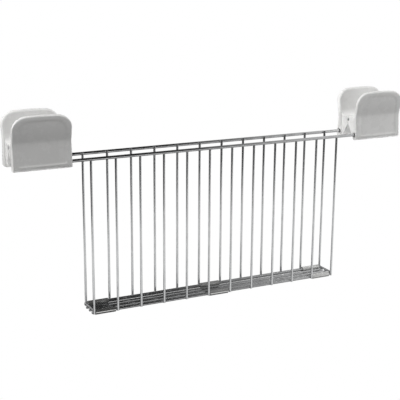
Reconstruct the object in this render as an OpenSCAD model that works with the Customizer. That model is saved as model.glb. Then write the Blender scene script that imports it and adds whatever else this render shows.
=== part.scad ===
// Toaster sandwich rack: a wire cage that hangs in a toaster slot from two squeeze handles.
// The front panel and the tray are one piece. The back panel is hinged on the rod behind the tray.
// Each handle is a pair of moulded halves that rock on a pin and turn on the ends of the two rails.
// +X runs along the rack, -Y is the front, +Z is up. z = 0 is the plane under the handles' feet.

/* [Cage] */
// Number of upright wires in each panel
wire_count = 12; // [6:1:12]
// Distance between neighbouring upright wires
wire_pitch = 20; // [19.2:0.2:21.4]
// Diameter of the upright wires
wire_d = 1.8; // [1.4:0.1:2]
// Distance between the middles of the front and the back wires
panel_gap = 18.4; // [17:0.2:20]
// Height of the rails above the tray's end cross wires
cage_h = 121.1; // [90:0.1:150]
// How far the front wires' feet stay above the underside of the front tray rod
front_wire_rise = 0.5; // [0:0.1:1]
// How far the front wires' ends stay below the tops of the rails
front_wire_stop = 1; // [0:0.1:1.2]
// Diameter of the two rails
rail_d = 2.5; // [2:0.1:3]
// Diameter of the tray rods
rod_d = 2.4; // [1.8:0.1:2.6]
// Diameter of the hinge rod
hinge_rod_d = 2.8; // [2.2:0.1:3]
// How far the tray rods and the hinge rod reach past the end wires
rod_overhang = 0.2; // [0:0.1:3]
// Gap between the rear tray rod and the straps' knuckles
knuckle_room = 0.3; // [0.2:0.1:1]

/* [Hinge straps] */
// Width of a hinge strap along the rack
strap_w = 16.8; // [8:0.1:17]
// Thickness of the strap's sheet
strap_t = 0.8; // [0.5:0.05:1]
// Radius inside the nose that the strap makes round the front tray rod
nose_r = 1.45; // [1.35:0.05:1.6]

/* [Handles] */
// Distance between the handles' inner ends
handle_gap = 252.2; // [244:0.2:290]
// Length of a handle along the rack
handle_l = 45; // [40:0.1:55]
// Height of a handle
handle_h = 41.4; // [37:0.1:48]
// Depth of a closed handle over its two feet
foot_d = 29; // [28.6:0.1:33]
// Depth of a closed handle over its waist, where it is narrowest
waist_d = 26.8; // [23:0.1:28]
// Depth of a closed handle over the tops of its finger plates
grip_d = 33.2; // [30:0.1:38]
// Height of the waist above the handles' feet
waist_rise = 20.8; // [19:0.1:25]
// How strongly the outer faces roll over above the waist
face_roll = 0.6; // [0:0.05:0.9]
// Height of the rails above the handles' feet
rail_rise = 4.7; // [4:0.1:6]
// Thickness of the finger plates at the top
plate_t = 3.5; // [2.5:0.1:4]
// Radius of the finger plates' top corners
top_corner_r = 10; // [5:0.5:12]
// How much the finger plates' top edges rise towards the middle
crown = 1.6; // [0.2:0.1:3]
// Radius of the finger plates' bottom corners
low_corner_r = 1.5; // [0.5:0.1:2]
// Radius along the outer bottom edge of a foot
foot_r = 3.8; // [2.5:0.1:4.2]
// How far the handle's core stands back from the plates' ends
core_recess = 1.5; // [0.5:0.1:3]

/* [Rocking joint] */
// Height of the rocking pin above the handles' feet
pin_rise = 16; // [15:0.1:18]
// Diameter of the rocking pin
pin_d = 2.5; // [2:0.1:3]
// Outer diameter of the knuckles round the pin
knuckle_d = 5.6; // [5.2:0.1:6]
// Height of the top of the slot under the pin
vee_rise = 12.6; // [11:0.1:13]
// Distance from the middle plane to each foot's inner edge
foot_inset = 8.6; // [7:0.1:9]
// Diameter of the torsion spring's wire
spring_wire_d = 1; // [0.8:0.05:1.1]
// Number of turns in the torsion spring
spring_turns = 6; // [4:1:8]

/* [Rail clips] */
// Outer diameter of the push-on ring at a rail's end
clip_d = 4; // [3.6:0.1:4.2]
// Thickness of the push-on ring
clip_t = 0.6; // [0.4:0.1:0.8]
// Distance from a ring to the end of its rail
clip_inset = 2.2; // [1.5:0.1:3]
// Depth of the rail's bore from the handle's inner end
bore_depth = 41; // [36:0.5:42]

/* [Fits] */
// Gap left at a weld or a seat between two pieces
seat_gap = 0.02; // [0.01:0.01:0.05]
// Radial clearance where a piece turns on a rod
running_gap = 0.05; // [0.02:0.01:0.09]
// Distance from the middle plane to each half's seam face
seam_gap = 0.25; // [0.2:0.05:0.4]
// Extra play of the back half on the rocking pin
pin_play = 0.35; // [0.3:0.01:0.4]
// Clearance round the other half's knuckles
knuckle_gap = 0.4; // [0.35:0.05:0.5]
// Distance along the pin between one half's knuckle and the next
knuckle_side_gap = 0.3; // [0.2:0.05:0.5]

/* [Hidden] */
$fn = 64;
hair = 0.01;
front = -1;
back = 1;

wire_y = panel_gap / 2;
rail_y = wire_y + (wire_d + rail_d) / 2 + seat_gap;
rail_z = rail_rise;
rail_top = rail_z + rail_d / 2;
rail_end_gap = 0.6;
rail_reach = handle_gap / 2 + bore_depth - rail_end_gap;
tray_z = rail_z - cage_h;
end_wire_x = (wire_count - 1) * wire_pitch / 2;
rod_reach = end_wire_x + wire_d / 2 + rod_overhang;
rod_chamfer = 0.3;

// The tray rods lie under the end cross wires. The front one lies behind the front wires.
rod_drop = (wire_d + rod_d) / 2 + seat_gap;
front_rod_y = rod_drop - wire_y;
rod_z = tray_z - rod_drop;
hinge_r = hinge_rod_d / 2;
hinge_rod = [wire_y, tray_z + wire_d / 2 - hinge_r];
strap_knuckle_in = hinge_r + running_gap;
strap_knuckle_out = strap_knuckle_in + strap_t;
rod_to_hinge = strap_knuckle_out + knuckle_room + rod_d / 2;
rear_rod_y = hinge_rod.x - sqrt(pow(rod_to_hinge, 2) - pow(hinge_rod.y - rod_z, 2));
cross_end_gap = 0.7;
cross_from_y = wire_d / 2 + seat_gap - wire_y;
cross_to_y = hinge_rod.x - hinge_r - cross_end_gap;
nose_end_angle = 96;
ramp_gap = 0.3;

handle_x = handle_gap / 2;
foot_u = foot_d / 2;
waist_u = waist_d / 2;
grip_u = grip_d / 2;
plate_top_r = plate_t / 2;
face_top = handle_h - plate_top_r;
waist_soft = 0.25;
waist_step = 1.2;
foot_wall = 5.7;
lip_inner = foot_u - foot_wall;
waist_inner = waist_u - plate_t;
inner_slope = (grip_u - waist_u) / (face_top - waist_rise);
inner_lean = atan(inner_slope);
core_sink = 1.5;
core_outer = waist_u - core_sink;
pin_r = pin_d / 2;
knuckle_r = knuckle_d / 2;
lobe_r = 2;
valley_z = pin_rise + lobe_r;
valley_r = 6.5;
valley_c = [waist_inner + (sin(inner_lean) * (valley_z + valley_r - waist_rise) - valley_r) / cos(inner_lean),
            valley_z + valley_r];
core_l = handle_l - 2 * core_recess;
core_end = core_recess + core_l;
mouth_room = 0.8;
mouth_depth = 2.5;
ring_room = 0.4;
ring_rim_room = 0.3;

// The pin carries knuckle, knuckle, spring, knuckle, knuckle along the core.
turn_spacing = 1.25;
spring_pitch = spring_wire_d * turn_spacing;
spring_slack = 0.8;
spring_l = spring_pitch * spring_turns + spring_wire_d;
spring_room = spring_l + 2 * spring_slack;
side_room = (core_l - spring_room) / 4;
spring_from = core_recess + 2 * side_room;
spring_to = spring_from + spring_room;
front_knuckles = [[core_recess, core_recess + side_room], [core_end - side_room, core_end]];
back_knuckles = [[core_recess + side_room + knuckle_side_gap, spring_from],
                 [spring_to, core_end - side_room - knuckle_side_gap]];
pin_inset = 1;
coil_gap = 0.15;
coil_r = pin_r + coil_gap + spring_wire_d / 2;
coil_room_r = coil_r + spring_wire_d;
leg_lean = 48;
leg_gap = 0.2;
ring_sides = 8;
turn_steps = 20;
leg_steps = 4;

chrome = [0.78, 0.79, 0.8];
steel = [0.62, 0.63, 0.65];
white = [0.93, 0.93, 0.92];

function wire_x(i) = (i - (wire_count + 1) / 2) * wire_pitch;
function strap_x(k) = k == 0 ? (wire_count % 2) * wire_pitch / 2 : k * (wire_count / 2 - 1) * wire_pitch;
function arc(c, r, a0, a1, n = 12) =
    [for (i = [0:n]) let (a = a0 + (a1 - a0) * i / n) [c.x + r * cos(a), c.y + r * sin(a)]];

// A round bar along X, from x0 to x1, with its ends broken by a small chamfer.
module bar_x(d, x0, x1, y, z) {
    end_d = d - 2 * rod_chamfer;
    translate([x0, y, z]) rotate([0, 90, 0]) {
        cylinder(d1 = end_d, d2 = d, h = rod_chamfer);
        translate([0, 0, rod_chamfer]) cylinder(d = d, h = x1 - x0 - 2 * rod_chamfer);
        translate([0, 0, x1 - x0 - rod_chamfer]) cylinder(d1 = d, d2 = end_d, h = rod_chamfer);
    }
}

// A flat shape in the Y-Z plane, carried along X from x0 to x1.
module along_x(x0, x1) {
    translate([x0, 0, 0]) rotate([90, 0, 90]) linear_extrude(x1 - x0) children();
}

// ---- Cage ----

module rail(side) {
    color(chrome) bar_x(rail_d, -rail_reach, rail_reach, side * rail_y, rail_z);
}

module front_wire(i) {
    foot_z = rod_z - rod_d / 2 + front_wire_rise;
    color(chrome) translate([wire_x(i), -wire_y, foot_z])
        cylinder(d = wire_d, h = rail_top - front_wire_stop - foot_z);
}

module end_cross_wire(end) {
    color(chrome) translate([end * end_wire_x, cross_from_y, tray_z]) rotate([-90, 0, 0])
        cylinder(d = wire_d, h = cross_to_y - cross_from_y);
}

module back_wire(i) {
    foot_z = hinge_rod.y + hinge_r + seat_gap;
    color(chrome) translate([wire_x(i), wire_y, foot_z]) cylinder(d = wire_d, h = rail_top - foot_z);
}

module cage_rod(d, y, z) {
    color(chrome) bar_x(d, -rod_reach, rod_reach, y, z);
}

module tray_rod_front() { cage_rod(rod_d, front_rod_y, rod_z); }
module tray_rod_middle() { cage_rod(rod_d, (front_rod_y + rear_rod_y) / 2, rod_z); }
module tray_rod_rear() { cage_rod(rod_d, rear_rod_y, rod_z); }
module back_hinge_rod() { cage_rod(hinge_rod_d, hinge_rod.x, hinge_rod.y); }

// One strip of sheet: a nose round the front rod, a flat under the tray, a knuckle round the hinge rod.
module strap_profile() {
    flat_top = rod_z - rod_d / 2 - seat_gap;
    nose = [front_rod_y, flat_top + nose_r];
    mid_r = strap_knuckle_in + strap_t / 2;
    ramp_start = [rear_rod_y + rod_d / 2 + ramp_gap, flat_top - strap_t / 2];
    to_rod = hinge_rod - ramp_start;
    reach = norm(to_rod);
    ramp_angle = atan2(to_rod.y, to_rod.x) - asin(mid_r / reach);
    ramp_end = ramp_start + sqrt(reach * reach - mid_r * mid_r) * [cos(ramp_angle), sin(ramp_angle)];
    half = (strap_t / 2 - hair) * [-sin(ramp_angle), cos(ramp_angle)];
    far = 2 * (nose_r + strap_t);
    nose_end = far * [cos(nose_end_angle), sin(nose_end_angle)];
    difference() {
        translate(nose) circle(r = nose_r + strap_t);
        translate(nose) circle(r = nose_r);
        translate(nose) polygon([[0, 0], [0, -far], [far, -far], [far, far], nose_end]);
    }
    translate([nose.x - hair, flat_top - strap_t]) square([ramp_start.x - nose.x + hair, strap_t]);
    translate(ramp_start) circle(d = strap_t);
    difference() {
        polygon([ramp_start + half, ramp_start - half, ramp_end - half, ramp_end + half]);
        translate(hinge_rod) circle(r = strap_knuckle_in);
    }
    difference() {
        translate(hinge_rod) circle(r = strap_knuckle_out);
        translate(hinge_rod) circle(r = strap_knuckle_in);
    }
}

module hinge_strap(k) {
    color(steel) along_x(strap_x(k) - strap_w / 2, strap_x(k) + strap_w / 2) strap_profile();
}

// ---- Handles, drawn as the right back half: s along the rack from the inner end, u outwards ----

module place_half(end, side) {
    mirror([end < 0 ? 1 : 0, 0, 0]) mirror([0, side < 0 ? 1 : 0, 0]) translate([handle_x, 0, 0]) children();
}

// The outer face: a slope from the foot in to the waist, then one that leans out and rolls over to the
// top. The two meet in a soft crease.
function face_u(z) =
    let (t = (z - waist_rise) / (face_top - waist_rise), low = waist_u - waist_soft,
         foot_face = low + (foot_u - low) * (waist_rise - z) / (waist_rise - foot_r),
         grip_face = low + (grip_u - low) * t * (1 + face_roll * (1 - t)))
    (foot_face + grip_face) / 2 + norm([(foot_face - grip_face) / 2, waist_soft]);

function plate_section() =
    let (crease_top = waist_rise + 2 * waist_step)
    concat([[lip_inner, 0]],
        arc([foot_u - foot_r, foot_r], foot_r, -90, 0, 10),
        [for (i = [-2:2]) let (z = waist_rise + waist_step * i) [face_u(z), z]],
        [for (i = [1:8]) let (z = crease_top + (face_top - crease_top) * i / 8) [face_u(z), z]],
        arc([grip_u - plate_top_r, face_top], plate_top_r, 15, 180, 10),
        [[waist_inner, waist_rise]]);

function core_section() =
    let (join = valley_c + valley_r * [cos(inner_lean), -sin(inner_lean)])
    concat([[seam_gap, vee_rise], [foot_inset, 0], [lip_inner + hair, 0], [core_outer, waist_rise],
            [join.x + core_sink, join.y]],
        arc(valley_c, valley_r, -inner_lean, -90, 12),
        arc([seam_gap + lobe_r, pin_rise], lobe_r, 90, 180, 8));

// The outline seen from the front: small corners at the feet, large ones at the top, a crowned top edge.
function bow(p) = [p.x, p.y - crown * pow(p.y / handle_h, 4) * pow(2 * p.x / handle_l - 1, 2)];

function front_outline() =
    let (top_z = handle_h - top_corner_r, top_l = handle_l - 2 * top_corner_r)
    [for (p = concat(
        arc([low_corner_r, low_corner_r], low_corner_r, 270, 180, 8),
        arc([top_corner_r, top_z], top_corner_r, 180, 90, 12),
        [for (i = [1:7]) [top_corner_r + top_l * i / 8, handle_h]],
        arc([top_corner_r + top_l, top_z], top_corner_r, 90, 0, 12),
        arc([handle_l - low_corner_r, low_corner_r], low_corner_r, 360, 270, 8))) bow(p)];

module half_body() {
    intersection() {
        union() {
            along_x(0, handle_l) polygon(plate_section());
            along_x(core_recess, core_end) polygon(core_section());
        }
        translate([0, grip_d, 0]) rotate([90, 0, 0]) linear_extrude(grip_d) polygon(front_outline());
    }
}

// Round cuts and knuckles about the pin; spans lists where they lie along the handle.
module about_pin(r, spans) {
    for (span = spans)
        translate([span[0], 0, pin_rise]) rotate([0, 90, 0]) cylinder(r = r, h = span[1] - span[0]);
}

// The bore for the rail, its mouth, and the pocket and slot for the push-on ring.
module rail_bore() {
    pocket_w = clip_t + 2 * ring_room;
    pocket_r = clip_d / 2 + ring_rim_room;
    pocket_s = rail_reach - handle_x - clip_inset - pocket_w / 2;
    translate([-hair, rail_y, rail_z]) rotate([0, 90, 0]) {
        cylinder(r = rail_d / 2 + running_gap, h = bore_depth);
        cylinder(r = rail_d / 2 + mouth_room, h = core_recess + mouth_depth);
    }
    translate([pocket_s, rail_y, rail_z]) rotate([0, 90, 0]) cylinder(r = pocket_r, h = pocket_w);
    translate([pocket_s, 0, rail_z - pocket_r]) cube([pocket_w, rail_y, 2 * pocket_r]);
}

// One moulded half: own are its knuckles' spans, others the spans it clears for the other half's knuckles.
module handle_half_solid(own, others, hole_r) {
    cuts = [for (k = others) [k[0] - knuckle_side_gap, k[1] + knuckle_side_gap]];
    difference() {
        union() {
            difference() {
                half_body();
                about_pin(knuckle_r + knuckle_gap, cuts);
                about_pin(coil_room_r, [[spring_from, spring_to]]);
            }
            about_pin(knuckle_r, own);
        }
        about_pin(hole_r, [[-hair, handle_l]]);
        rail_bore();
    }
}

module front_half(end) {
    color(white) place_half(end, front)
        handle_half_solid(front_knuckles, back_knuckles, pin_r + seat_gap);
}

module back_half(end) {
    color(white) place_half(end, back)
        handle_half_solid(back_knuckles, front_knuckles, pin_r + pin_play);
}

module rocking_pin(end) {
    color(steel) place_half(end, back)
        bar_x(pin_d, core_recess + pin_inset, core_end - pin_inset, 0, pin_rise);
}

// ---- Torsion spring: leg, coil and leg swept as one tube; the legs cross over the coil's top ----

function unit(v) = v / norm(v);
function ring(c, along, inward) =
    let (n1 = unit(inward), n2 = cross(unit(along), n1))
    [for (j = [0:ring_sides - 1]) let (a = 360 * j / ring_sides)
        c + spring_wire_d / 2 * (cos(a) * n1 + sin(a) * n2)];

module torsion_spring(end) {
    from = 90 - leg_lean;
    sweep = 2 * leg_lean - 360 * spring_turns;
    steps = round(-turn_steps * sweep / 360);
    coil_from = spring_from + spring_slack + spring_wire_d / 2;
    front_leg = [0, -cos(leg_lean), sin(leg_lean)];
    back_leg = [0, cos(leg_lean), sin(leg_lean)];
    // A leg runs until its rim is leg_gap short of the plate's leaning inner face.
    leg_z = pin_rise + coil_r * cos(leg_lean);
    to_face = waist_inner + inner_slope * (leg_z - waist_rise) + coil_r * sin(leg_lean);
    full_l = to_face / (cos(leg_lean) - inner_slope * sin(leg_lean));
    meet = leg_lean + inner_lean;
    leg_l = full_l - (spring_wire_d / 2 * sin(meet) + leg_gap) / cos(meet);
    coil = [for (i = [0:steps]) let (a = from + sweep * i / steps)
        [coil_from - spring_pitch * sweep / 360 * i / steps, coil_r * cos(a), coil_r * sin(a)]];
    rings = concat(
        [for (i = [leg_steps:-1:1]) ring(coil[0] + front_leg * leg_l * i / leg_steps, -front_leg,
            [0, -cos(from), -sin(from)])],
        [for (i = [0:steps]) let (a = from + sweep * i / steps)
            ring(coil[i], [0, sin(a), -cos(a)], [0, -cos(a), -sin(a)])],
        [for (i = [1:leg_steps]) ring(coil[steps] + back_leg * leg_l * i / leg_steps, back_leg,
            [0, cos(from), -sin(from)])]);
    last = (len(rings) - 1) * ring_sides;
    color(steel) place_half(end, back) translate([0, 0, pin_rise]) polyhedron(
        points = [for (r = rings) each r],
        faces = concat([[for (j = [0:ring_sides - 1]) j]], [[for (j = [ring_sides - 1:-1:0]) last + j]],
            [for (i = [0:len(rings) - 2], j = [0:ring_sides - 1])
                let (q = (j + 1) % ring_sides, a = i * ring_sides, b = a + ring_sides)
                [a + q, a + j, b + j, b + q]]),
        convexity = 10);
}

// ---- Push-on rings that keep the handles on the rails ----

module rail_clips(side) {
    color(steel) for (end = [-1, 1])
        translate([end * (rail_reach - clip_inset) - clip_t / 2, side * rail_y, rail_z]) rotate([0, 90, 0])
            difference() {
                cylinder(d = clip_d, h = clip_t);
                translate([0, 0, -hair]) cylinder(d = rail_d + 2 * seat_gap, h = clip_t + 2 * hair);
            }
}

rail(front);  // front_rail
tray_rod_front();
tray_rod_middle();
tray_rod_rear();
end_cross_wire(-1);  // end_cross_wire_left
end_cross_wire(1);  // end_cross_wire_right
hinge_strap(-1);  // hinge_strap_left
hinge_strap(0);  // hinge_strap_middle
hinge_strap(1);  // hinge_strap_right
for (i = [1:wire_count]) front_wire(i);
rail(back);  // back_rail
back_hinge_rod();
for (i = [1:wire_count]) back_wire(i);
rail_clips(front);  // front_rail_clips
rail_clips(back);  // back_rail_clips
front_half(-1);  // handle_left_front_half
back_half(-1);  // handle_left_back_half
front_half(1);  // handle_right_front_half
back_half(1);  // handle_right_back_half
rocking_pin(-1);  // rocking_pin_left
rocking_pin(1);  // rocking_pin_right
torsion_spring(-1);  // torsion_spring_left
torsion_spring(1);  // torsion_spring_right
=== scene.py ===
"""Looks for the toaster sandwich rack: its moulded handles, springs, welds, finishes and studio stage."""

import math

import bmesh
import bpy
import numpy as np
from mathutils import Matrix, Vector


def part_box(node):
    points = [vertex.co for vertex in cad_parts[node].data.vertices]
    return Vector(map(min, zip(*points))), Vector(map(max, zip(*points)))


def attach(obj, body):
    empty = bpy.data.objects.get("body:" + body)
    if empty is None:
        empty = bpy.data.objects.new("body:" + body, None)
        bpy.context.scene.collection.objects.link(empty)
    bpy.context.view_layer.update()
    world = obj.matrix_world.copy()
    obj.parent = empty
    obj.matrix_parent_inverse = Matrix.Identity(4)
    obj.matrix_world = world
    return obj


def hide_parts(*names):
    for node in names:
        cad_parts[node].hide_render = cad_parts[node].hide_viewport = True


bl_info = {
    "name": "Toaster sandwich rack",
    "version": (1, 0, 0),
    "blender": (4, 5, 0),
    "location": "View3D > Sidebar > Sandwich rack",
    "description": "Builds the handles, springs, welds, finishes and stage of a toaster sandwich rack",
    "category": "Object",
}

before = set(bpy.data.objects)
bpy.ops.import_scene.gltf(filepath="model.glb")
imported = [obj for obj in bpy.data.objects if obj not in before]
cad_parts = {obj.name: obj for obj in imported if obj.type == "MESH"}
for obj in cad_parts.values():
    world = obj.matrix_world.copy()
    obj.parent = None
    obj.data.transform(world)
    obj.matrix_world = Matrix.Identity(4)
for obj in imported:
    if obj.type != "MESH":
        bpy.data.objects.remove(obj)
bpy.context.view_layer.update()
MM = 0.001


def box_mm(node):
    """A CAD node's lowest and highest corners at rest, in millimetres."""
    low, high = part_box(node)
    return np.array(low) / MM, np.array(high) / MM


# ---- The core between a handle's finger plate and its pin, in millimetres ----

PIN_INSET = 1.0  # from the core's end face to the end of the pin
FOOT_WALL = 5.7  # thickness of a foot at the ground
FOOT_INSET = 8.6  # from the middle plane to the underside's slope at the ground
VEE_RISE = 12.6  # height where the underside's slope meets the seam
SEAM_GAP = 0.25  # from the middle plane to the seam face
LOBE_R = 2.0  # round beside the pin, at the top of the seam face
VALLEY_R = 6.5  # round between the valley floor and the finger plate
PLATE_OVERLAP = 1.5  # how far the core reaches into the finger plate
KNUCKLE_GAP = 0.4  # round the other half's knuckle
KNUCKLE_SIDE_GAP = 0.3  # between neighbouring knuckles along the pin

# ---- Bores and what turns in them, in millimetres ----

BORE_DEPTH = 41.0  # of the rail's blind bore
RUNNING_GAP = 0.05  # round the rail
MOUTH_DEPTH = 2.5  # of the wider pocket for the push-on ring, past the core's end face
MOUTH_ROOM = 0.8  # round the rail in that pocket
PRESS_GAP = 0.02  # round the pin in a front half
PIN_PLAY = 0.35  # round the pin in a back half
CUT_PAST = 1.0  # how far a cutter stands out of the handle

# ---- The torsion springs, in millimetres ----

SPRING_ROOM = 10.1  # length of the spring's pocket
SPRING_SLACK = 0.8  # between the pocket's end and the first turn
POCKET_ROOM = 1.5  # from the coil's inside to the pocket's wall
COIL_GAP = 0.15  # between pin and coil
SPRING_WIRE_R = 0.5
SPRING_TURNS = 6
TURN_SPACING = 1.25  # from turn to turn, in wire diameters
BACK_TURN = 0.2  # part of a turn that belongs to the back leg
BACK_WIDER = 0.15  # how much wider than the coil that part turn is
LEG_LEAN = math.radians(48)  # a leg's angle above the horizontal

# ---- Weld beads: radii along x, y and z in millimetres, by what the wire is welded to ----

BACK_RAIL_BEAD = (1.15, 0.65, 0.95)
HINGE_ROD_BEAD = (1.15, 1.0, 0.5)
FRONT_RAIL_BEAD = (1.15, 0.65, 0.9)
FRONT_ROD_BEAD = (1.1, 0.5, 0.9)
CROSS_WIRE_BEAD = (1.1, 1.1, 0.45)
HINGE_ROD_RISE = 0.05  # a bead's centre above a back wire's foot
FRONT_RAIL_DROP = 0.7  # a bead's centre below a front wire's top

# ---- Noise scales of the metal's fine lines: drawn out along one axis, or even ----

DRAWN_Z = (1, 1, 0.04)
DRAWN_X = (0.04, 1, 1)
DRAWN_Y = (1, 0.04, 1)
SHEET_DRAWN_X = (0.08, 1, 1)
PIN_DRAWN_X = (0.05, 1, 1)
SPRING_GRAIN = (30, 30, 30)
BEAD_GRAIN = (8, 8, 8)

# ---- Sizes read from the frame, in millimetres ----

handle_low, handle_high = box_mm("handle_right_back_half")
rail_low, rail_high = box_mm("back_rail")
pin_low, pin_high = box_mm("rocking_pin_right")
wire_low, wire_high = box_mm("back_wire_1")
cross_low, cross_high = box_mm("end_cross_wire_left")
rod_low, rod_high = box_mm("tray_rod_middle")

HANDLE_X = handle_low[0]
HANDLE_L = handle_high[0] - handle_low[0]
HANDLE_H = handle_high[2]
GRIP_U = handle_high[1]  # from the middle plane to the outer face at the top
KNUCKLE_R = -handle_low[1]  # a back half's knuckles reach this far past the middle plane
RAIL_R = (rail_high[1] - rail_low[1]) / 2
RAIL_Y = (rail_high[1] + rail_low[1]) / 2
RAIL_Z = (rail_high[2] + rail_low[2]) / 2
PIN_R = (pin_high[1] - pin_low[1]) / 2
PIN_Z = (pin_high[2] + pin_low[2]) / 2
CORE_IN = pin_low[0] - HANDLE_X - PIN_INSET  # from the handle's end to the core's
CORE_L = HANDLE_L - 2 * CORE_IN
WIRE_R = (wire_high[1] - wire_low[1]) / 2
WIRE_Y = (wire_high[1] + wire_low[1]) / 2
FRONT_WIRE_TOP = box_mm("front_wire_1")[1][2]
CROSS_Z = cross_low[2] + WIRE_R
CROSS_X = -(cross_low[0] + cross_high[0]) / 2
ROD_R = (rod_high[1] - rod_low[1]) / 2
SPRING_REACH = box_mm("torsion_spring_right")[1][1]


class HandleSettings(bpy.types.PropertyGroup):
    """Sizes and colour of the moulded handles."""

    plate: bpy.props.FloatProperty(
        name="Plate", description="Thickness of a finger plate at the top", default=0.0035, unit="LENGTH")
    waist: bpy.props.FloatProperty(
        name="Waist", description="Distance from the middle plane to the outer face at its waist",
        default=0.0134, unit="LENGTH")
    waist_height: bpy.props.FloatProperty(
        name="Waist height", description="Height of the waist above the feet", default=0.0208, unit="LENGTH")
    foot: bpy.props.FloatProperty(
        name="Foot", description="Distance from the middle plane to the outer face at the foot",
        default=0.0145, unit="LENGTH")
    roll: bpy.props.FloatProperty(
        name="Roll", description="How strongly the outer face rolls over above the waist", default=0.6,
        min=0.0, max=0.9)
    dish: bpy.props.FloatProperty(
        name="Dish", description="Depth of the dish in an outer face", default=0.0003, unit="LENGTH")
    border: bpy.props.FloatProperty(
        name="Border", description="Width of the border beside the dish", default=0.0034, unit="LENGTH")
    foot_round: bpy.props.FloatProperty(
        name="Foot rounding", description="Radius along the outer bottom edge", default=0.0038, unit="LENGTH")
    top_corner: bpy.props.FloatProperty(
        name="Top corner", description="Radius of the top corners", default=0.010, unit="LENGTH")
    low_corner: bpy.props.FloatProperty(
        name="Low corner", description="Radius of the bottom corners", default=0.0015, unit="LENGTH")
    crown: bpy.props.FloatProperty(
        name="Crown", description="Rise of the top edge towards its middle", default=0.0016, unit="LENGTH")
    colour: bpy.props.FloatVectorProperty(
        name="Plastic", description="Colour of the moulded plastic", subtype="COLOR", size=3,
        default=(0.838, 0.836, 0.825), min=0.0, max=1.0)


class MetalSettings(bpy.types.PropertyGroup):
    """Colours and polish of the metal pieces."""

    chrome: bpy.props.FloatVectorProperty(
        name="Chrome", description="Reflected colour of the chromed wire", subtype="COLOR", size=3,
        default=(0.57, 0.575, 0.58), min=0.0, max=1.0)
    sheet: bpy.props.FloatVectorProperty(
        name="Sheet", description="Reflected colour of the bent sheet", subtype="COLOR", size=3,
        default=(0.70, 0.70, 0.69), min=0.0, max=1.0)
    spring: bpy.props.FloatVectorProperty(
        name="Spring steel", description="Reflected colour of the springs and pins", subtype="COLOR", size=3,
        default=(0.45, 0.46, 0.48), min=0.0, max=1.0)
    polish: bpy.props.FloatProperty(
        name="Polish", description="Roughness of the chromed wire", default=0.14, min=0.0, max=1.0,
        subtype="FACTOR")


class StageSettings(bpy.types.PropertyGroup):
    """Place and lens of the camera, and height of the floor."""

    lens: bpy.props.FloatProperty(
        name="Lens", description="Focal length of the camera in millimetres", default=87.93)
    azimuth: bpy.props.FloatProperty(
        name="Azimuth", description="Camera's turn about the rack", default=math.radians(-26.507),
        subtype="ANGLE")
    elevation: bpy.props.FloatProperty(
        name="Elevation", description="Camera's height angle", default=math.radians(14.437), subtype="ANGLE")
    roll: bpy.props.FloatProperty(
        name="Roll", description="Camera's turn about its own axis", default=math.radians(0.37),
        subtype="ANGLE")
    place: bpy.props.FloatVectorProperty(
        name="Place", description="Camera's place", subtype="TRANSLATION", size=3,
        default=(-0.35596, -0.68567, 0.15739))
    floor_z: bpy.props.FloatProperty(
        name="Floor", description="Height of the floor", default=-0.30, unit="LENGTH")


# ---- Meshes from arrays ----

def grid_faces(rows, cols, closed=True):
    """Quads between the rows of a grid of points; closed joins the last column to the first."""
    i = np.arange(rows - 1)[:, None] * cols
    j = np.arange(cols if closed else cols - 1)[None, :]
    k = (j + 1) % cols
    return np.stack([i + j, i + k, i + cols + k, i + cols + j], axis=-1).reshape(-1, 4)


def fans(rows, cols):
    """One face over the first row of a closed grid, and one over its last row."""
    return [list(range(cols))[::-1], list(range((rows - 1) * cols, rows * cols))]


def closed_grid(pts):
    """The points and faces of a grid whose rows are closed loops, with a face over each end."""
    rows, cols = pts.shape[:2]
    return pts.reshape(-1, 3), grid_faces(rows, cols).tolist() + fans(rows, cols)


def tube(path, radius, across, sides=14):
    """A round wire: at each point of the path a circle of the wire's radius, square to the path.
    The circle is spanned by a direction near across and its product with the path's direction."""
    path = np.asarray(path, float)
    along = np.gradient(path, axis=0)
    along /= np.linalg.norm(along, axis=1)[:, None]
    across = np.asarray(across, float)
    n1 = across - (along @ across)[:, None] * along
    n1 /= np.linalg.norm(n1, axis=1)[:, None]
    n2 = np.cross(along, n1)
    a = np.linspace(0, 2 * np.pi, sides, endpoint=False)
    pts = path[:, None, :] + radius * (
        np.cos(a)[None, :, None] * n1[:, None, :] + np.sin(a)[None, :, None] * n2[:, None, :])
    return closed_grid(pts)


def blobs(centres, radii, around=14, up=7):
    """Weld beads: spheres on a grid of longitude and latitude, stretched to three radii, at each centre.
    radii holds one triple for each centre."""
    a = np.linspace(0, 2 * np.pi, around, endpoint=False)
    b = np.linspace(-np.pi / 2, np.pi / 2, up)[1:-1]
    ball, ball_faces = closed_grid(np.stack(
        [np.cos(b)[:, None] * np.cos(a), np.cos(b)[:, None] * np.sin(a),
         np.repeat(np.sin(b)[:, None], around, 1)], axis=-1))
    centres, radii = np.asarray(centres, float), np.asarray(radii, float)
    pts = (centres[:, None, :] + radii[:, None, :] * ball[None]).reshape(-1, 3)
    faces = [[v + k * len(ball) for v in f] for k in range(len(centres)) for f in ball_faces]
    return pts, faces


def join(parts):
    """Several point sets and face lists as one."""
    pts, faces, start = [], [], 0
    for p, f in parts:
        pts.append(p)
        faces += [[int(v) + start for v in face] for face in f]
        start += len(p)
    return np.concatenate(pts), faces


def new_piece(name, pts_mm, faces, sharp=35.0):
    """A mesh object at the origin from points in millimetres; edges sharper than sharp degrees stay crisp."""
    mesh = bpy.data.meshes.new(name)
    mesh.from_pydata((np.asarray(pts_mm) * MM).tolist(), [], [list(map(int, f)) for f in faces])
    mesh.validate()
    mesh.shade_smooth()
    mesh.set_sharp_from_angle(angle=math.radians(sharp))
    piece = bpy.data.objects.new(name, mesh)
    bpy.context.scene.collection.objects.link(piece)
    return piece


# ---- Finishes ----

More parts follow.
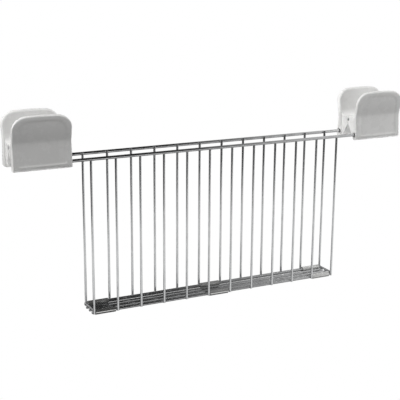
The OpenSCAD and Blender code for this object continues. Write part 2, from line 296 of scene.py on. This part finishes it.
def new_finish(name):
    """An empty node material with its principled shader, and a helper that adds nodes to it."""
    finish = bpy.data.materials.new(name)
    finish.use_nodes = True
    nodes, links = finish.node_tree.nodes, finish.node_tree.links
    shader = nodes["Principled BSDF"]

    def add(kind, **sockets):
        node = nodes.new(kind)
        for key, value in sockets.items():
            if key in node.inputs:
                node.inputs[key].default_value = value
            else:
                setattr(node, key, value)
        return node

    return finish, shader, add, links


def grey(value):
    """A number as a colour."""
    return (value, value, value)


def tinted(colour, factor):
    """A colour made lighter or darker by a factor, held at 1."""
    return tuple(min(1.0, c * factor) for c in colour)


def ramp_between(add, links, source, low, high):
    """Turns the middle of a noise's range, 0.3 to 0.7, into a fade between two colours."""
    ramp = add("ShaderNodeValToRGB")
    for element, place, colour in zip(ramp.color_ramp.elements, (0.3, 0.7), (low, high)):
        element.position = place
        element.color = (*colour, 1)
    links.new(source, ramp.inputs["Fac"])
    return ramp.outputs["Color"]


def noise(add, links, where, **settings):
    """A noise's grey value over the given coordinates."""
    node = add("ShaderNodeTexNoise", **settings)
    links.new(where, node.inputs["Vector"])
    return node.outputs["Fac"]


def emboss(add, links, shader, height, strength, depth):
    """Bumps the shader's surface by a grey value, to a depth in metres."""
    relief = add("ShaderNodeBump", Strength=strength, Distance=depth)
    links.new(height, relief.inputs["Height"])
    links.new(relief.outputs["Normal"], shader.inputs["Normal"])


def metal_finish(name, colour, rough, stretch, bump=0.02):
    """Bright metal with faint drawn lines: noise that is drawn out along the piece changes its roughness
    and its surface a little, and an even, finer noise changes its colour."""
    finish, shader, add, links = new_finish(name)
    where = add("ShaderNodeTexCoord").outputs["Object"]
    drawn = add("ShaderNodeMapping")
    drawn.inputs["Scale"].default_value = stretch
    links.new(where, drawn.inputs["Vector"])
    lines = noise(add, links, drawn.outputs["Vector"], Scale=9.0, Detail=4.0, Roughness=0.6)
    patches = noise(add, links, where, Scale=140.0, Detail=3.0, Roughness=0.5)
    links.new(ramp_between(add, links, patches, tinted(colour, 0.9), tinted(colour, 1.06)),
              shader.inputs["Base Color"])
    links.new(ramp_between(add, links, lines, grey(rough * 0.7), grey(rough * 1.5)),
              shader.inputs["Roughness"])
    emboss(add, links, shader, lines, bump, 0.0001)
    shader.inputs["Metallic"].default_value = 1.0
    return finish


def plastic_finish(name, colour):
    """Glossy moulded plastic: a very faint orange-peel surface, soft flow marks and handling haze."""
    finish, shader, add, links = new_finish(name)
    where = add("ShaderNodeTexCoord").outputs["Object"]
    flow = noise(add, links, where, Scale=38.0, Detail=3.0, Roughness=0.5, Distortion=0.6)
    peel = noise(add, links, where, Scale=900.0, Detail=2.0, Roughness=0.5)
    haze = noise(add, links, where, Scale=120.0, Detail=5.0, Roughness=0.65)
    links.new(ramp_between(add, links, flow, tinted(colour, 0.975), tinted(colour, 1.01)),
              shader.inputs["Base Color"])
    links.new(ramp_between(add, links, haze, grey(0.20), grey(0.34)), shader.inputs["Roughness"])
    emboss(add, links, shader, peel, 0.06, 0.00008)
    shader.inputs["IOR"].default_value = 1.49
    shader.inputs["Coat Weight"].default_value = 0.25
    shader.inputs["Coat Roughness"].default_value = 0.12
    return finish


def dress(names, finish):
    """Gives CAD nodes a finish."""
    for name in names:
        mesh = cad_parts[name].data
        mesh.materials.clear()
        mesh.materials.append(finish)


def named(*starts):
    """The names of the CAD nodes that begin with one of starts, in order."""
    return [n for n in sorted(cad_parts) if n.startswith(starts)]


# ---- Handle halves: s along the handle from its inner end, u outwards, z up ----

def plate_outline(turn, inset, width, height, top_r, low_r, crown):
    """The finger plate's outline: a rounded rectangle with two corner radii, shrunk inwards by inset.
    turn runs from 0 to 1 once round it, in eight equal stretches of four sides and four corners.
    The corner radii shrink in step with inset. The top edge falls from its middle with the square of s,
    by crown at its ends, and less below it, with the fourth power of height. Returns s, z and the
    outward direction's s and z."""
    inset = np.broadcast_to(inset, turn.shape).astype(float)
    shrink = 1 - inset / (height / 2)
    half_s, half_z = width / 2 - inset, height / 2 - inset
    top_r, low_r = top_r * shrink, low_r * shrink
    # each corner's middle and radius, counted from the foot: a quarter is a side and the corner after it
    corners = [(half_s - low_r, -(half_z - low_r), low_r), (half_s - top_r, half_z - top_r, top_r),
               (-(half_s - top_r), half_z - top_r, top_r), (-(half_s - low_r), -(half_z - low_r), low_r)]
    part = np.minimum((turn * 8).astype(int), 7)
    along = turn * 8 - part
    quarter, on_corner = part // 2, part % 2 == 1
    angle = np.radians([-90, 0, 90, 180])[quarter] + on_corner * along * np.pi / 2
    n_s, n_z = np.cos(angle), np.sin(angle)

    def facing(corner):
        """The point on a corner's round that faces the outward direction."""
        c_s, c_z, radius = (np.choose(corner % 4, values) for values in zip(*corners))
        return c_s + radius * n_s, c_z + radius * n_z

    (start_s, start_z), (end_s, end_z) = facing(quarter - 1), facing(quarter)
    s = np.where(on_corner, end_s, start_s + (end_s - start_s) * along)
    z = np.where(on_corner, end_z, start_z + (end_z - start_z) * along)
    bow = crown * np.clip((z + height / 2) / height, 0, 1) ** 4
    z = z - bow * np.clip(np.abs(s) / (width / 2), 0, 1) ** 2
    return s + width / 2, z + height / 2, n_s, n_z


def plate_faces(h):
    """The finger plate's two faces as functions of height. The outer one slopes from the foot in to the
    waist, then leans out and rolls over to the top, with a soft crease between: half the sum of the two
    slopes, plus the root of their half difference squared and the crease's size squared. The inner one
    is straight from the top down to the waist, and straight again to the foot."""
    plate, waist, waist_z, foot, foot_r = (v / MM for v in (h.plate, h.waist, h.waist_height, h.foot,
                                                            h.foot_round))
    top_z = HANDLE_H - plate / 2
    crease = 0.25

    def outer(z):
        low = waist - crease
        t = (z - waist_z) / (top_z - waist_z)
        foot_face = low + (foot - low) * (waist_z - z) / (waist_z - foot_r)
        grip_face = low + (GRIP_U - low) * t * (1 + h.roll * (1 - t))
        return (foot_face + grip_face) / 2 + np.hypot((foot_face - grip_face) / 2, crease)

    def inner(z):
        slope = (GRIP_U - waist) / (top_z - waist_z)
        grip_face = waist - plate + slope * (z - waist_z)
        foot_face = waist - plate + (foot - FOOT_WALL - waist + plate) * (waist_z - z) / waist_z
        return np.where(z > waist_z, grip_face, foot_face)

    return outer, inner


def plate_shell(h):
    """The finger plate as a closed pillow. Rings run from the middle of the outer face to its edge and
    back to the middle of the inner face. At an edge each face rolls over a quarter ellipse, whose depth
    and width differ between the top, the sides and the foot. The outer face is dished inside a border,
    by 3 p squared less 2 p cubed, as p goes from 0 to 1 over the dish's slope."""
    around, face_rings, edge_rings = 192, 20, 10
    side_drop, side_wide, inner_side, inner_foot = 0.7, 0.9, 1.6, 0.4
    dish_slope = 1.6
    turn = np.arange(around) / around
    plate, foot_r, dish, border = h.plate / MM, h.foot_round / MM, h.dish / MM, h.border / MM
    shape = (HANDLE_L, HANDLE_H, h.top_corner / MM, h.low_corner / MM, h.crown / MM)
    outer_u, inner_u = plate_faces(h)
    _, _, n_s, n_z = plate_outline(turn, 0, *shape)
    up, down, side = np.maximum(n_z, 0) ** 2, np.maximum(-n_z, 0) ** 2, n_s ** 2
    out_drop = plate / 2 * up + foot_r * down + side_drop * side
    out_wide = plate / 2 * up + foot_r * down + side_wide * side
    inner_round = plate / 2 * up + inner_foot * down + inner_side * side
    deepest = HANDLE_H / 2 * 0.995  # the innermost ring stops just short of the middle
    inward = np.linspace(1, 0, face_rings) ** 1.5  # rings lie closer together near the edge

    def half(drop, wide, face, way, deep):
        """One face's rings from its middle to the edge; way is 1 or -1, towards the other face."""
        rings = []
        for k in inward[:-1]:
            inset = wide + (deepest - wide) * k
            s, z, _, _ = plate_outline(turn, inset, *shape)
            past = np.clip((inset - border) / dish_slope, 0, 1)
            rings.append(np.stack([s, face(z) - deep * past * past * (3 - 2 * past), z], axis=-1))
        for b in np.radians(np.linspace(90, 0, edge_rings)):
            s, z, _, _ = plate_outline(turn, wide * (1 - np.cos(b)), *shape)
            rings.append(np.stack([s, face(z) + way * drop * (1 - np.sin(b)), z], axis=-1))
        return rings

    return closed_grid(np.array(half(out_drop, out_wide, outer_u, -1, dish)
                                + half(inner_round, inner_round, inner_u, 1, 0.0)[::-1]))


def arc(c, r, a0, a1, n):
    """An arc about c of radius r, from angle a0 to a1 in degrees, as n + 1 points."""
    a = np.radians(np.linspace(a0, a1, n + 1))
    return np.stack([c[0] + r * np.cos(a), c[1] + r * np.sin(a)], axis=-1)


def core_profile(h, knuckle_r, own):
    """The core's section in u and z: sloped underside, seam face with a lobe beside the pin, valley floor
    and the arc that rises into the plate. A circle about the pin is added for an own knuckle, and cut
    out where the other half's knuckle or the spring turns. The circle meets the seam face below the pin,
    and above it the lobe's circle, or the valley floor if it is too big for that."""
    top = PIN_Z + LOBE_R
    waist, waist_z, plate = h.waist / MM, h.waist_height / MM, h.plate / MM
    lean = math.atan((GRIP_U - waist) / (HANDLE_H - plate / 2 - waist_z))
    valley = (waist - plate + (math.sin(lean) * (top + VALLEY_R - waist_z) - VALLEY_R) / math.cos(lean),
              top + VALLEY_R)
    in_plate = (valley[0] + VALLEY_R * math.cos(lean) + PLATE_OVERLAP, valley[1] - VALLEY_R * math.sin(lean))
    low_z = PIN_Z - math.sqrt(knuckle_r ** 2 - SEAM_GAP ** 2)
    lobe_u = SEAM_GAP + LOBE_R
    u = (knuckle_r ** 2 - LOBE_R ** 2 + lobe_u ** 2) / (2 * lobe_u)
    if u < lobe_u:
        high = (u, PIN_Z + math.sqrt(knuckle_r ** 2 - u ** 2))
        lobe_from = math.degrees(math.atan2(high[1] - PIN_Z, u - lobe_u))
        lobe = arc((lobe_u, PIN_Z), LOBE_R, lobe_from, 90, 3)[1:]
    else:
        high = (math.sqrt(knuckle_r ** 2 - LOBE_R ** 2), top)
        lobe = np.empty((0, 2))
    a_low = math.degrees(math.atan2(low_z - PIN_Z, SEAM_GAP))
    a_high = math.degrees(math.atan2(high[1] - PIN_Z, high[0]))
    about_pin = arc((0, PIN_Z), knuckle_r, a_low, a_high - 360 if own else a_high, 28)
    lip = h.foot / MM - FOOT_WALL
    return np.concatenate([[in_plate, [waist - PLATE_OVERLAP, waist_z], [lip, 0.0], [FOOT_INSET, 0.0],
                            [SEAM_GAP, VEE_RISE]], about_pin, lobe,
                           arc(valley, VALLEY_R, -90, -math.degrees(lean), 14)])


def prism(profile, s0, s1):
    """A section in u and z carried straight along the handle from s0 to s1."""
    return closed_grid(np.stack([np.column_stack([np.full(len(profile), s), profile]) for s in (s0, s1)]))


def rod_cutter(s0, s1, u, z, r, sides=48):
    """A straight round rod along s, used to cut bores."""
    a = np.linspace(0, 2 * np.pi, sides, endpoint=False)
    return prism(np.stack([u + r * np.cos(a), z + r * np.sin(a)], axis=-1), s0, s1)


def outward(piece):
    """Turns every shell's faces outwards."""
    work = bmesh.new()
    work.from_mesh(piece.data)
    bmesh.ops.recalc_face_normals(work, faces=work.faces)
    work.to_mesh(piece.data)
    work.free()


def knuckle_spans():
    """Where the front half's knuckles, the back half's and the spring's pocket lie along s. Four knuckles
    of equal length share what the pocket leaves, and the back half's lie beside the pocket."""
    side = (CORE_L - SPRING_ROOM) / 4
    start, end = CORE_IN + 2 * side, CORE_IN + 2 * side + SPRING_ROOM
    front = [(CORE_IN, CORE_IN + side), (CORE_IN + CORE_L - side, CORE_IN + CORE_L)]
    back = [(CORE_IN + side + KNUCKLE_SIDE_GAP, start), (end, CORE_IN + CORE_L - side - KNUCKLE_SIDE_GAP)]
    return front, back, (start, end)


def core_stretches(side):
    """A half's core as stretches along s: start, end, radius about the pin, and whether that radius is
    the half's own knuckle. Where it isn't, it is the room for the other half's knuckle or the spring."""
    front, back, spring = knuckle_spans()
    own, other = (front, back) if side < 0 else (back, front)
    core_end = CORE_IN + CORE_L
    knuckles = sorted(
        [(a, b, KNUCKLE_R, True) for a, b in own]
        + [(max(CORE_IN, a - KNUCKLE_SIDE_GAP), min(core_end, b + KNUCKLE_SIDE_GAP), KNUCKLE_R + KNUCKLE_GAP,
            False) for a, b in other])
    stretches, at = [], CORE_IN
    middle = (spring[0] + spring[1]) / 2
    for a, b, r, mine in knuckles:
        a = max(a, at)
        if a > middle > at:
            stretches.append((at, a, PIN_R + COIL_GAP + POCKET_ROOM, False))
            at = a
        stretches.append((at, b, r, mine))
        at = b
    return stretches


def cut_bores(body, side):
    """Cuts the rail's bore, the wider mouth for its push-on ring, and the pin's bore, which is a press
    fit in a front half and a loose one in a back half. Returns the new mesh."""
    bore = join([rod_cutter(-CUT_PAST, BORE_DEPTH, RAIL_Y, RAIL_Z, RAIL_R + RUNNING_GAP),
                 rod_cutter(-CUT_PAST, CORE_IN + MOUTH_DEPTH, RAIL_Y, RAIL_Z, RAIL_R + MOUTH_ROOM),
                 rod_cutter(-CUT_PAST, HANDLE_L + CUT_PAST, 0, PIN_Z,
                            PIN_R + (PRESS_GAP if side < 0 else PIN_PLAY))])
    cutter = new_piece(body.name + "_cutter", *bore)
    outward(cutter)
    cut = body.modifiers.new("bores", "BOOLEAN")
    cut.operation, cut.solver, cut.object, cut.use_self = "DIFFERENCE", "EXACT", cutter, True
    deps = bpy.context.evaluated_depsgraph_get()
    mesh = bpy.data.meshes.new_from_object(body.evaluated_get(deps))
    body.modifiers.clear()
    body.data = mesh
    bpy.data.objects.remove(cutter)
    return mesh


def handle_half(name, end, side):
    """One moulded half: the plate's pillow and the core's stretches, joined, with the bores cut. It is
    made in s, u and z, then turned to its end (-1 left, 1 right) and side (-1 front, 1 back)."""
    h = bpy.context.scene.rack_handles
    parts = [plate_shell(h)]
    for a, b, r, mine in core_stretches(side):
        parts.append(prism(core_profile(h, r, mine), a, b))
    body = new_piece(name, *join(parts))
    outward(body)
    mesh = cut_bores(body, side)
    co = np.empty(len(mesh.vertices) * 3, np.float32)
    mesh.vertices.foreach_get("co", co)
    co = co.reshape(-1, 3)
    co[:, 0] = end * (co[:, 0] + HANDLE_X * MM)
    co[:, 1] *= side
    mesh.vertices.foreach_set("co", co.ravel())
    if end * side < 0:
        mesh.flip_normals()
    mesh.shade_smooth()
    mesh.set_sharp_from_angle(angle=math.radians(32))
    mesh.update()
    return body


class RACK_OT_handles(bpy.types.Operator):
    """Make the four moulded handle halves."""

    bl_idname = "rack.handles"
    bl_label = "Handle halves"

    def execute(self, context):
        white = plastic_finish("handle_plastic", context.scene.rack_handles.colour)
        for end, word in ((-1, "left"), (1, "right")):
            for side, half in ((-1, "front"), (1, "back")):
                node = f"handle_{word}_{half}_half"
                piece = handle_half(f"{word}_{half}_half_moulding", end, side)
                piece.data.materials.clear()
                piece.data.materials.append(white)
                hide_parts(node)
                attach(piece, f"{word}_{half}_half")
        return {"FINISHED"}


def spring_paths():
    """A right torsion spring's two lengths of wire, with x counted from the handle's inner end: the coil
    with its front leg, and the last part turn, a little wider, with its back leg. A coil is a helix,
    whose angle and x grow evenly, and a leg leaves its end at a tangent."""
    coil_r = PIN_R + COIL_GAP + SPRING_WIRE_R
    pitch = 2 * SPRING_WIRE_R * TURN_SPACING
    coil_from = knuckle_spans()[2][0] + SPRING_SLACK + SPRING_WIRE_R
    start, sweep = math.pi / 2 - LEG_LEAN, 2 * LEG_LEAN - 2 * math.pi * SPRING_TURNS
    reach = SPRING_REACH - SPRING_WIRE_R * math.sin(LEG_LEAN)

    def helix(f, r):
        a = start + sweep * f
        return np.stack([coil_from - pitch * sweep / (2 * np.pi) * f, r * np.cos(a), PIN_Z + r * np.sin(a)],
                        axis=-1)

    def leg(r, way):
        far = (reach + r * math.sin(LEG_LEAN)) / math.cos(LEG_LEAN)
        return np.linspace(0, far, 12)[1:, None] * np.array([0, way * math.cos(LEG_LEAN), math.sin(LEG_LEAN)])

    coil = helix(np.linspace(0, 1, 220), coil_r)
    rest = helix(np.linspace(1 - BACK_TURN / SPRING_TURNS, 1, 12), coil_r + BACK_WIDER)
    return (np.concatenate([coil[0] + leg(coil_r, -1)[::-1], coil]),
            np.concatenate([rest, rest[-1] + leg(coil_r + BACK_WIDER, 1)]))


class RACK_OT_springs(bpy.types.Operator):
    """Make each torsion spring as a coil with its front leg, and a back leg with the last part turn. That
    turn is a little wider than the coil, so it stays clear of the pin when the halves are squeezed."""

    bl_idname = "rack.springs"
    bl_label = "Torsion springs"

    def execute(self, context):
        steel = metal_finish("spring_steel", context.scene.rack_metal.spring, 0.3, SPRING_GRAIN, 0.05)
        front, back = spring_paths()
        for end, word in ((-1, "left"), (1, "right")):
            for label, path, body in (("coil", front, "front"), ("back_leg", back, "back")):
                pts, faces = tube(path, SPRING_WIRE_R, (1, 0, 0))
                pts = (pts + np.array([HANDLE_X, 0, 0])) * np.array([end, 1, 1])
                piece = new_piece(f"torsion_spring_{word}_{label}", pts, faces, 50)
                outward(piece)
                piece.data.materials.append(steel)
                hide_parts(f"torsion_spring_{word}")
                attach(piece, f"{word}_{body}_half")
        return {"FINISHED"}


class RACK_OT_wires(bpy.types.Operator):
    """Give the rails, rods and wires their polished chrome."""

    bl_idname = "rack.wires"
    bl_label = "Chromed wires"

    def execute(self, context):
        m = context.scene.rack_metal
        upright = metal_finish("chrome_upright", m.chrome, m.polish, DRAWN_Z)
        lengthwise = metal_finish("chrome_lengthwise", m.chrome, m.polish, DRAWN_X)
        across = metal_finish("chrome_across", m.chrome, m.polish, DRAWN_Y)
        dress(named("front_wire", "back_wire"), upright)
        dress(["front_rail", "back_rail", "back_hinge_rod"] + named("tray_rod"), lengthwise)
        dress(named("end_cross_wire"), across)
        return {"FINISHED"}


class RACK_OT_welds(bpy.types.Operator):
    """Add the weld beads where wires meet rails and rods."""

    bl_idname = "rack.welds"
    bl_label = "Weld beads"

    def execute(self, context):
        m = context.scene.rack_metal
        bead = metal_finish("weld_bead", tinted(m.chrome, 0.9), 0.28, BEAD_GRAIN, 0.12)
        front, back = [], []
        rods = [sum(box_mm(n)) / 2 for n in named("tray_rod")]
        for k in range(1, len(named("back_wire")) + 1):
            low, high = box_mm(f"back_wire_{k}")
            x = (low[0] + high[0]) / 2
            back.append(((x, WIRE_Y + WIRE_R, RAIL_Z), BACK_RAIL_BEAD))
            back.append(((x, WIRE_Y, low[2] + HINGE_ROD_RISE), HINGE_ROD_BEAD))
            front.append(((x, -WIRE_Y - WIRE_R, FRONT_WIRE_TOP - FRONT_RAIL_DROP), FRONT_RAIL_BEAD))
            front.append(((x, WIRE_R - WIRE_Y, rods[0][2]), FRONT_ROD_BEAD))
        for x in (-CROSS_X, CROSS_X):
            for rod in rods:
                front.append(((x, rod[1], (rod[2] + ROD_R + CROSS_Z - WIRE_R) / 2), CROSS_WIRE_BEAD))
        for name, beads, body in (("front_weld_beads", front, "front_basket"),
                                  ("back_weld_beads", back, "back_panel")):
            piece = new_piece(name, *blobs([b[0] for b in beads], [b[1] for b in beads]), sharp=80)
            outward(piece)
            piece.data.materials.append(bead)
            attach(piece, body)
        return {"FINISHED"}


class RACK_OT_fittings(bpy.types.Operator):
    """Finish the hinge straps, rocking pins and push-on rings."""

    bl_idname = "rack.fittings"
    bl_label = "Straps, pins and rings"

    def execute(self, context):
        m = context.scene.rack_metal
        sheet = metal_finish("bright_sheet", m.sheet, 0.2, SHEET_DRAWN_X, 0.05)
        steel = metal_finish("pin_steel", m.spring, 0.25, PIN_DRAWN_X, 0.05)
        dress(named("hinge_strap"), sheet)
        dress(named("rocking_pin") + ["front_rail_clips", "back_rail_clips"], steel)
        return {"FINISHED"}


def seen_by_eye(nodes, links):
    """1 for camera, glossy and transmission rays, 0 for the rest: the greatest of the three."""
    path = nodes.new("ShaderNodeLightPath")
    total = path.outputs["Is Camera Ray"]
    for name in ("Is Glossy Ray", "Is Transmission Ray"):
        greater = nodes.new("ShaderNodeMath")
        greater.operation = "MAXIMUM"
        links.new(total, greater.inputs[0])
        links.new(path.outputs[name], greater.inputs[1])
        total = greater.outputs[0]
    return total


def mix_for_eye(nodes, links, usual, seen, out):
    """Shows one shader to the eye and to reflections, and lets another light the scene."""
    mix = nodes.new("ShaderNodeMixShader")
    links.new(seen_by_eye(nodes, links), mix.inputs[0])
    links.new(usual.outputs[0], mix.inputs[1])
    links.new(seen.outputs[0], mix.inputs[2])
    links.new(mix.outputs[0], out.inputs["Surface"])


def fading_card(name, stops):
    """A card that reflects nothing and glows by its place along x: stops lists places and strengths,
    and the glow runs straight from one to the next."""
    fade, shader, add, links = new_finish(name)
    where = add("ShaderNodeTexCoord")
    split = add("ShaderNodeSeparateXYZ")
    links.new(where.outputs["Object"], split.inputs["Vector"])
    first, last = stops[0][0], stops[-1][0]
    span = add("ShaderNodeMapRange")
    span.inputs["From Min"].default_value, span.inputs["From Max"].default_value = first, last
    links.new(split.outputs["X"], span.inputs["Value"])
    ramp = add("ShaderNodeValToRGB")
    for x, glow in stops[1:-1]:
        ramp.color_ramp.elements.new((x - first) / (last - first)).color = (*grey(glow), 1)
    ramp.color_ramp.elements[0].color = (*grey(stops[0][1]), 1)
    ramp.color_ramp.elements[-1].color = (*grey(stops[-1][1]), 1)
    links.new(span.outputs["Result"], ramp.inputs["Fac"])
    links.new(ramp.outputs["Color"], shader.inputs["Emission Color"])
    shader.inputs["Base Color"].default_value = (0, 0, 0, 1)
    shader.inputs["Specular IOR Level"].default_value = 0.0
    shader.inputs["Emission Strength"].default_value = 1.0
    return fade


def place_camera(scene, s):
    """The camera looks along its azimuth and elevation, then turns about its own axis by its roll."""
    data = bpy.data.cameras.new("camera")
    data.lens, data.sensor_width = s.lens, 36.0
    data.clip_start, data.clip_end = 0.01, 50.0
    camera = bpy.data.objects.new("camera", data)
    scene.collection.objects.link(camera)
    az, el, roll = s.azimuth, s.elevation, s.roll
    back = np.array([math.sin(az) * math.cos(el), -math.cos(az) * math.cos(el), math.sin(el)])
    level = np.array([math.cos(az), math.sin(az), 0.0])
    right = level * math.cos(roll) + np.cross(back, level) * math.sin(roll)
    up = np.cross(back, right)
    turn = Matrix(np.column_stack([right, up, back]).tolist()).to_4x4()
    camera.matrix_world = Matrix.Translation(Vector(s.place)) @ turn
    scene.camera = camera


def light_world(scene):
    """A world that is white to the eye and to reflections, and dimmer as light on the object."""
    world = bpy.data.worlds.new("studio")
    scene.world = world
    world.use_nodes = True
    nodes, links = world.node_tree.nodes, world.node_tree.links
    nodes.clear()
    out = nodes.new("ShaderNodeOutputWorld")
    soft = nodes.new("ShaderNodeBackground")
    seen = nodes.new("ShaderNodeBackground")
    for background, strength in ((soft, 0.27), (seen, 1.0)):
        background.inputs["Color"].default_value = (1, 1, 1, 1)
        background.inputs["Strength"].default_value = strength
    mix_for_eye(nodes, links, soft, seen, out)


def lay_floor(s):
    """A pale floor that looks as white as the world to the eye and to reflections."""
    size = 6.0
    corners = ((-size, -size), (size, -size), (size, size), (-size, size))
    floor = new_piece("floor", np.array([[x, y, s.floor_z] for x, y in corners]) / MM, [[0, 1, 2, 3]])
    pale = bpy.data.materials.new("floor_pale")
    pale.use_nodes = True
    nodes, links = pale.node_tree.nodes, pale.node_tree.links
    base = nodes["Principled BSDF"]
    base.inputs["Base Color"].default_value = (*grey(0.8), 1)
    base.inputs["Roughness"].default_value = 0.9
    base.inputs["Specular IOR Level"].default_value = 0.1
    glow = nodes.new("ShaderNodeEmission")
    glow.inputs["Strength"].default_value = 1.0
    mix_for_eye(nodes, links, base, glow, nodes["Material Output"])
    floor.data.materials.append(pale)


def hang_lamps(scene):
    """Five area lamps that neither the camera nor reflections see: place, aim, width, height, watts."""
    for name, place, aim, width, tall, power in (
            ("lamp_left", (-1.8, 0.16, 0.57), (0, 0, 0), 1.6, 1.3, 29.0),
            ("lamp_right", (0.75, -0.45, -0.15), (0.15, 0, 0), 0.5, 0.5, 2.9),
            ("lamp_high", (-0.1, -0.5, 1.15), (0, 0, 0), 0.8, 0.5, 5.5),
            ("lamp_top", (0.1, 0.1, 1.3), (0, 0, 0), 1.4, 1.0, 5.0),
            ("lamp_low", (0.0, 0.03, -0.29), (0, 0.03, 0), 0.44, 0.04, 1.3)):
        light = bpy.data.lights.new(name, "AREA")
        light.shape, light.size, light.size_y, light.energy = "RECTANGLE", width, tall, power
        lamp = bpy.data.objects.new(name, light)
        lamp.location = place
        lamp.rotation_euler = (Vector(aim) - Vector(place)).to_track_quat("-Z", "Y").to_euler()
        lamp.visible_glossy = lamp.visible_camera = False
        scene.collection.objects.link(lamp)


def dark_wall(card, s):
    """A dark wall in front: an arc about the rack, carried up from the floor."""
    radius, top, around = 2.2, 1.0, 25
    a = np.radians(np.linspace(-150, -55, around))
    line = np.stack([radius * np.cos(a), radius * np.sin(a)], axis=-1)
    pts = np.concatenate([np.column_stack([line, np.full(around, z)]) for z in (s.floor_z, top)])
    wall = new_piece("card_front", pts / MM, grid_faces(2, around, False))
    wall.data.materials.append(card)
    wall.visible_camera = False


def dark_rings(card, s):
    """Two flat rings on the floor, one inside the other, each between two circles given by the middle's
    x and the radius. The inner one only dims the light from below, and the outer one is also reflected."""
    around, rise = 64, 0.003
    a = np.linspace(0, 2 * np.pi, around, endpoint=False)
    inner, shared, outer = (0.0, 0.12), (0.25, 1.17), (0.25, 3.2)
    for name, *rims in (("card_under", inner, shared), ("card_floor", shared, outer)):
        pts = np.concatenate([np.stack([x + r * np.cos(a), r * np.sin(a), np.full(around, s.floor_z + rise)],
                                       axis=-1) for x, r in rims])
        ring = new_piece(name, pts / MM, grid_faces(2, around))
        ring.data.materials.append(card)
        ring.visible_camera = False
        ring.visible_glossy = name == "card_floor"


def low_sheet(s):
    """A sheet near the floor that only reflections see: dark under the left, light under the right."""
    rise = 0.006
    corners = ((-0.6, -0.25), (0.5, -0.25), (0.5, 0.55), (-0.6, 0.55))
    pts = np.array([[x, y, s.floor_z + rise] for x, y in corners])
    sheet = new_piece("card_sheet", pts / MM, [[0, 1, 2, 3]])
    sheet.data.materials.append(fading_card("card_low_fade", ((0.0, 0.10), (0.5, 0.6))))
    sheet.visible_camera = sheet.visible_diffuse = sheet.visible_shadow = False


def fading_arch():
    """An arch over the rack that only reflections see: an arc in y and z, carried along x. It glows at
    half strength on the left, fades to dark right of the middle, and is bright again at the right end."""
    radius, along, around = 1.1, 23, 40
    x = np.linspace(-1.0, 1.2, along)
    a = np.radians(np.linspace(-8, 188, around))
    pts = np.stack([np.repeat(x, around), np.tile(radius * np.cos(a), along),
                    np.tile(radius * np.sin(a), along)], axis=-1)
    arch = new_piece("card_arch", pts / MM, grid_faces(along, around, False))
    glow = ((-0.1, 0.5), (0.16, 0.03), (0.48, 0.03), (0.88, 0.9))
    arch.data.materials.append(fading_card("card_fade", glow))
    arch.visible_camera = arch.visible_diffuse = arch.visible_shadow = False


class RACK_OT_stage(bpy.types.Operator):
    """Set up the camera, the lamps, the floor and the cards that give the metal its contrast."""

    bl_idname = "rack.stage"
    bl_label = "Stage"

    def execute(self, context):
        s = context.scene.rack_stage
        scene = context.scene
        scene.view_settings.view_transform = "Standard"
        place_camera(scene, s)
        light_world(scene)
        lay_floor(s)
        hang_lamps(scene)
        card = bpy.data.materials.new("card_dark")
        card.use_nodes = True
        dark = card.node_tree.nodes["Principled BSDF"]
        dark.inputs["Base Color"].default_value = (*grey(0.03), 1)
        dark.inputs["Roughness"].default_value = 0.9
        dark_wall(card, s)
        dark_rings(card, s)
        low_sheet(s)
        fading_arch()
        return {"FINISHED"}


OPERATORS = (RACK_OT_wires, RACK_OT_welds, RACK_OT_fittings, RACK_OT_springs, RACK_OT_handles, RACK_OT_stage)


class RACK_PT_panel(bpy.types.Panel):
    """Lists the rack's settings and operators."""

    bl_idname = "RACK_PT_panel"
    bl_label = "Sandwich rack"
    bl_space_type = "VIEW_3D"
    bl_region_type = "UI"
    bl_category = "Sandwich rack"

    def draw(self, context):
        for group in (context.scene.rack_handles, context.scene.rack_metal, context.scene.rack_stage):
            box = self.layout.box()
            for key in group.__annotations__:
                box.prop(group, key)
        for operator in OPERATORS:
            self.layout.operator(operator.bl_idname)


CLASSES = (HandleSettings, MetalSettings, StageSettings, *OPERATORS, RACK_PT_panel)


def register():
    for cls in CLASSES:
        bpy.utils.register_class(cls)
    bpy.types.Scene.rack_handles = bpy.props.PointerProperty(type=HandleSettings)
    bpy.types.Scene.rack_metal = bpy.props.PointerProperty(type=MetalSettings)
    bpy.types.Scene.rack_stage = bpy.props.PointerProperty(type=StageSettings)


def unregister():
    del bpy.types.Scene.rack_stage
    del bpy.types.Scene.rack_metal
    del bpy.types.Scene.rack_handles
    for cls in reversed(CLASSES):
        bpy.utils.unregister_class(cls)


def main():
    """Makes everything in order."""
    register()
    bpy.ops.rack.wires()
    bpy.ops.rack.welds()
    bpy.ops.rack.fittings()
    bpy.ops.rack.springs()
    bpy.ops.rack.handles()
    bpy.ops.rack.stage()


if __name__ == "__main__":
    main()
